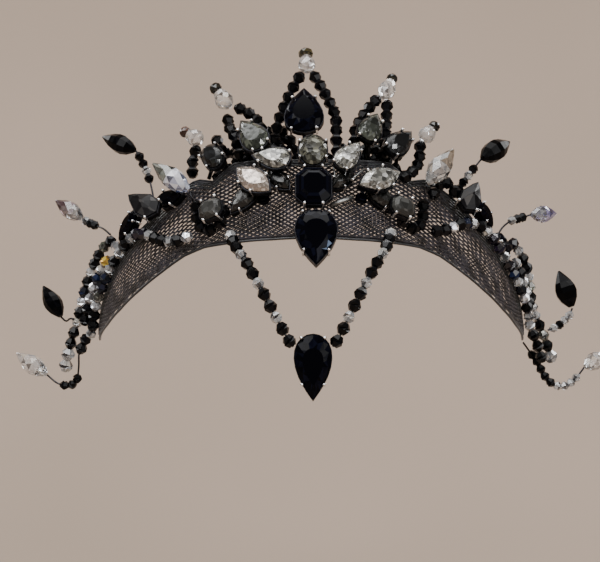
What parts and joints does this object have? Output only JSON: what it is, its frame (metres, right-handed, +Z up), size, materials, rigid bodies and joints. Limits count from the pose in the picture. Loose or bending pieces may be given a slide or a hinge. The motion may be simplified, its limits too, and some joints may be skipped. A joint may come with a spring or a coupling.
{
  "type": "ballet tiara",
  "caption": "Dark ballet tiara: net band, strung bicone beads, claw-set black, smoky and clear stones, drop stones on wire stems, and a V-shaped bead drop with a pear pendant.",
  "frame": {"origin": "midway between the band's two ends, on the line that they rest on above the wearer's ears", "axes": "+X to the wearer's left, along the line between the band's ends; +Y to the wearer's back; +Z up"},
  "size_m": [0.2182, 0.1013, 0.1198],
  "materials": {
    "net": "open black net, its edge wire bound in black",
    "silver_wire": "thin bright wire",
    "jet_beads": "faceted jet glass",
    "jet_stone": "faceted jet glass",
    "smoke_stone": "faceted smoky glass",
    "clear_stone": "faceted clear glass",
    "silver_settings": "plated claw cups"
  },
  "bodies": {
    "root": {"net_band": "net", "frame_wire": "net", "rim_row_left": "jet_beads", "rim_row_right": "jet_beads", "band_row_left": "jet_beads", "band_row_right": "jet_beads", "loop_centre": "jet_beads", "loop_left": "jet_beads", "loop_right": "jet_beads", "loop_left_outer": "jet_beads", "loop_right_outer": "jet_beads", "loop_left_low": "jet_beads", "loop_right_low": "jet_beads", "drop_strand_left": "jet_beads", "drop_strand_right": "jet_beads", "pendant_stone": "jet_stone", "pendant_setting": "silver_settings", "kite_stone": "jet_stone", "centre_stone": "jet_stone", "crest_stone": "smoke_stone", "peak_stone": "jet_stone", "centre_settings": "silver_settings", "left_settings": "silver_settings", "right_settings": "silver_settings", "clear_navette_left": "clear_stone", "clear_navette_right": "clear_stone", "clear_pear_left": "clear_stone", "clear_pear_right": "clear_stone", "smoke_navette_left": "smoke_stone", "smoke_navette_right": "smoke_stone", "smoke_pear_left": "smoke_stone", "smoke_pear_right": "smoke_stone", "cushion_stone_left": "smoke_stone", "cushion_stone_right": "smoke_stone", "loop_pear_left": "smoke_stone", "loop_pear_right": "smoke_stone", "outer_stone_left": "jet_stone", "outer_stone_right": "jet_stone", "petal_stone_left": "smoke_stone", "petal_stone_right": "smoke_stone", "square_beads": "jet_beads", "rim_leaves_left": "jet_stone", "rim_leaves_right": "jet_stone", "stems_left": "silver_wire", "stems_right": "silver_wire", "finial_top": "clear_stone", "finial_left_1": "clear_stone", "finial_left_2": "clear_stone", "finial_left_3": "clear_stone", "finial_left_4": "jet_stone", "finial_left_5": "clear_stone", "finial_left_6": "jet_stone", "finial_left_7": "clear_stone", "finial_right_1": "clear_stone", "finial_right_2": "clear_stone", "finial_right_3": "clear_stone", "finial_right_4": "jet_stone", "finial_right_5": "clear_stone", "finial_right_6": "jet_stone", "finial_right_7": "clear_stone"}
  },
  "joints": []
}
